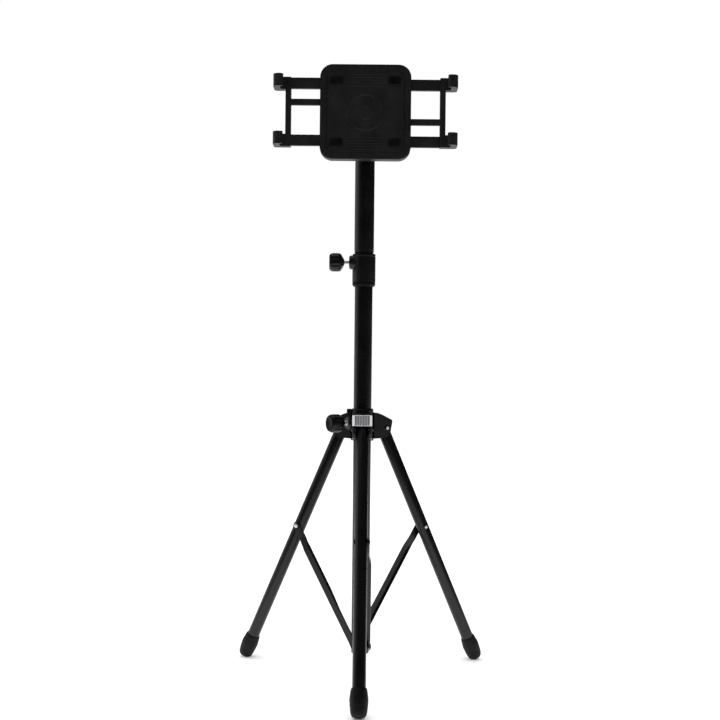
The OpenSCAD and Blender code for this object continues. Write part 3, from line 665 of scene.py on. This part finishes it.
# the floor fades into the backdrop towards its rim
tc = nt.nodes.new("ShaderNodeTexCoord")
ln = nt.nodes.new("ShaderNodeVectorMath")
ln.operation = "LENGTH"
nt.links.new(tc.outputs["Object"], ln.inputs[0])
fade = nt.nodes.new("ShaderNodeMapRange")
fade.interpolation_type = "SMOOTHSTEP"
fade.inputs["From Min"].default_value = 2.75
fade.inputs["From Max"].default_value = 3.6
nt.links.new(ln.outputs["Value"], fade.inputs["Value"])
tr = nt.nodes.new("ShaderNodeBsdfTransparent")
mix = nt.nodes.new("ShaderNodeMixShader")
out = next(n for n in nt.nodes if n.type == "OUTPUT_MATERIAL")
nt.links.new(fade.outputs["Result"], mix.inputs[0])
nt.links.new(b.outputs["BSDF"], mix.inputs[1])
nt.links.new(tr.outputs["BSDF"], mix.inputs[2])
nt.links.new(mix.outputs["Shader"], out.inputs["Surface"])
me.materials.append(fm)

world = bpy.data.worlds.new("studio")
bpy.context.scene.world = world
world.use_nodes = True
wt = world.node_tree
wt.nodes.clear()
wout = wt.nodes.new("ShaderNodeOutputWorld")


def backdrop(strength):
    n = wt.nodes.new("ShaderNodeBackground")
    n.inputs["Color"].default_value = (1.0, 1.0, 1.0, 1.0)
    n.inputs["Strength"].default_value = strength
    return n.outputs["Background"]


def pick(fac, a, b):
    n = wt.nodes.new("ShaderNodeMixShader")
    wt.links.new(fac, n.inputs[0])
    wt.links.new(a, n.inputs[1])
    wt.links.new(b, n.inputs[2])
    return n.outputs["Shader"]


# white to the eye, an even white fill on matt faces, dark in reflections so that the panels shape the gloss
lp = wt.nodes.new("ShaderNodeLightPath")
sky = pick(lp.outputs["Is Diffuse Ray"], backdrop(0.02), backdrop(1.3))
sky = pick(lp.outputs["Is Camera Ray"], sky, backdrop(1.0))
wt.links.new(sky, wout.inputs["Surface"])


def area(name, loc, aim, size, power):
    ld = bpy.data.lights.new(name, "AREA")
    ld.shape = "RECTANGLE"
    ld.size, ld.size_y = size
    ld.energy = power
    lo = bpy.data.objects.new(name, ld)
    bpy.context.scene.collection.objects.link(lo)
    lo.location = loc
    lo.visible_camera = False
    lo.rotation_euler = (Vector(aim) - Vector(loc)).to_track_quat("-Z", "Y").to_euler()
    return lo


area("key_left", (-1.62, 0.62, 0.8), (0, 0, 0.4), (2.1, 1.7), 7.4)
area("side_left", (-1.75, -0.75, 1.1), (0, 0, 0.4), (0.8, 1.4), 0.6)
area("back_high", (0.2, 2.6, 1.8), (0, 0, 0.35), (2.4, 1.4), 6.0)
area("top", (-0.5, 0.3, 2.3), (0, 0, 0.2), (1.2, 1.2), 5.0)

cam_data = bpy.data.cameras.new("camera")
cam_data.sensor_width = 36.0
cam_data.lens = 1146.0 / 720.0 * 36.0
cam_data.clip_start = 0.05
cam = bpy.data.objects.new("camera", cam_data)
bpy.context.scene.collection.objects.link(cam)
ROLL = math.radians(0.6)
cam.matrix_world = Matrix.Translation((0.0046, -1.295, 0.3565)) @ Matrix.Rotation(0.006144, 4, "Z") @ Matrix.Rotation(math.radians(90), 4, "X") @ Matrix.Rotation(ROLL, 4, "Z")
bpy.context.scene.camera = cam
bpy.context.scene.view_settings.view_transform = "Standard"
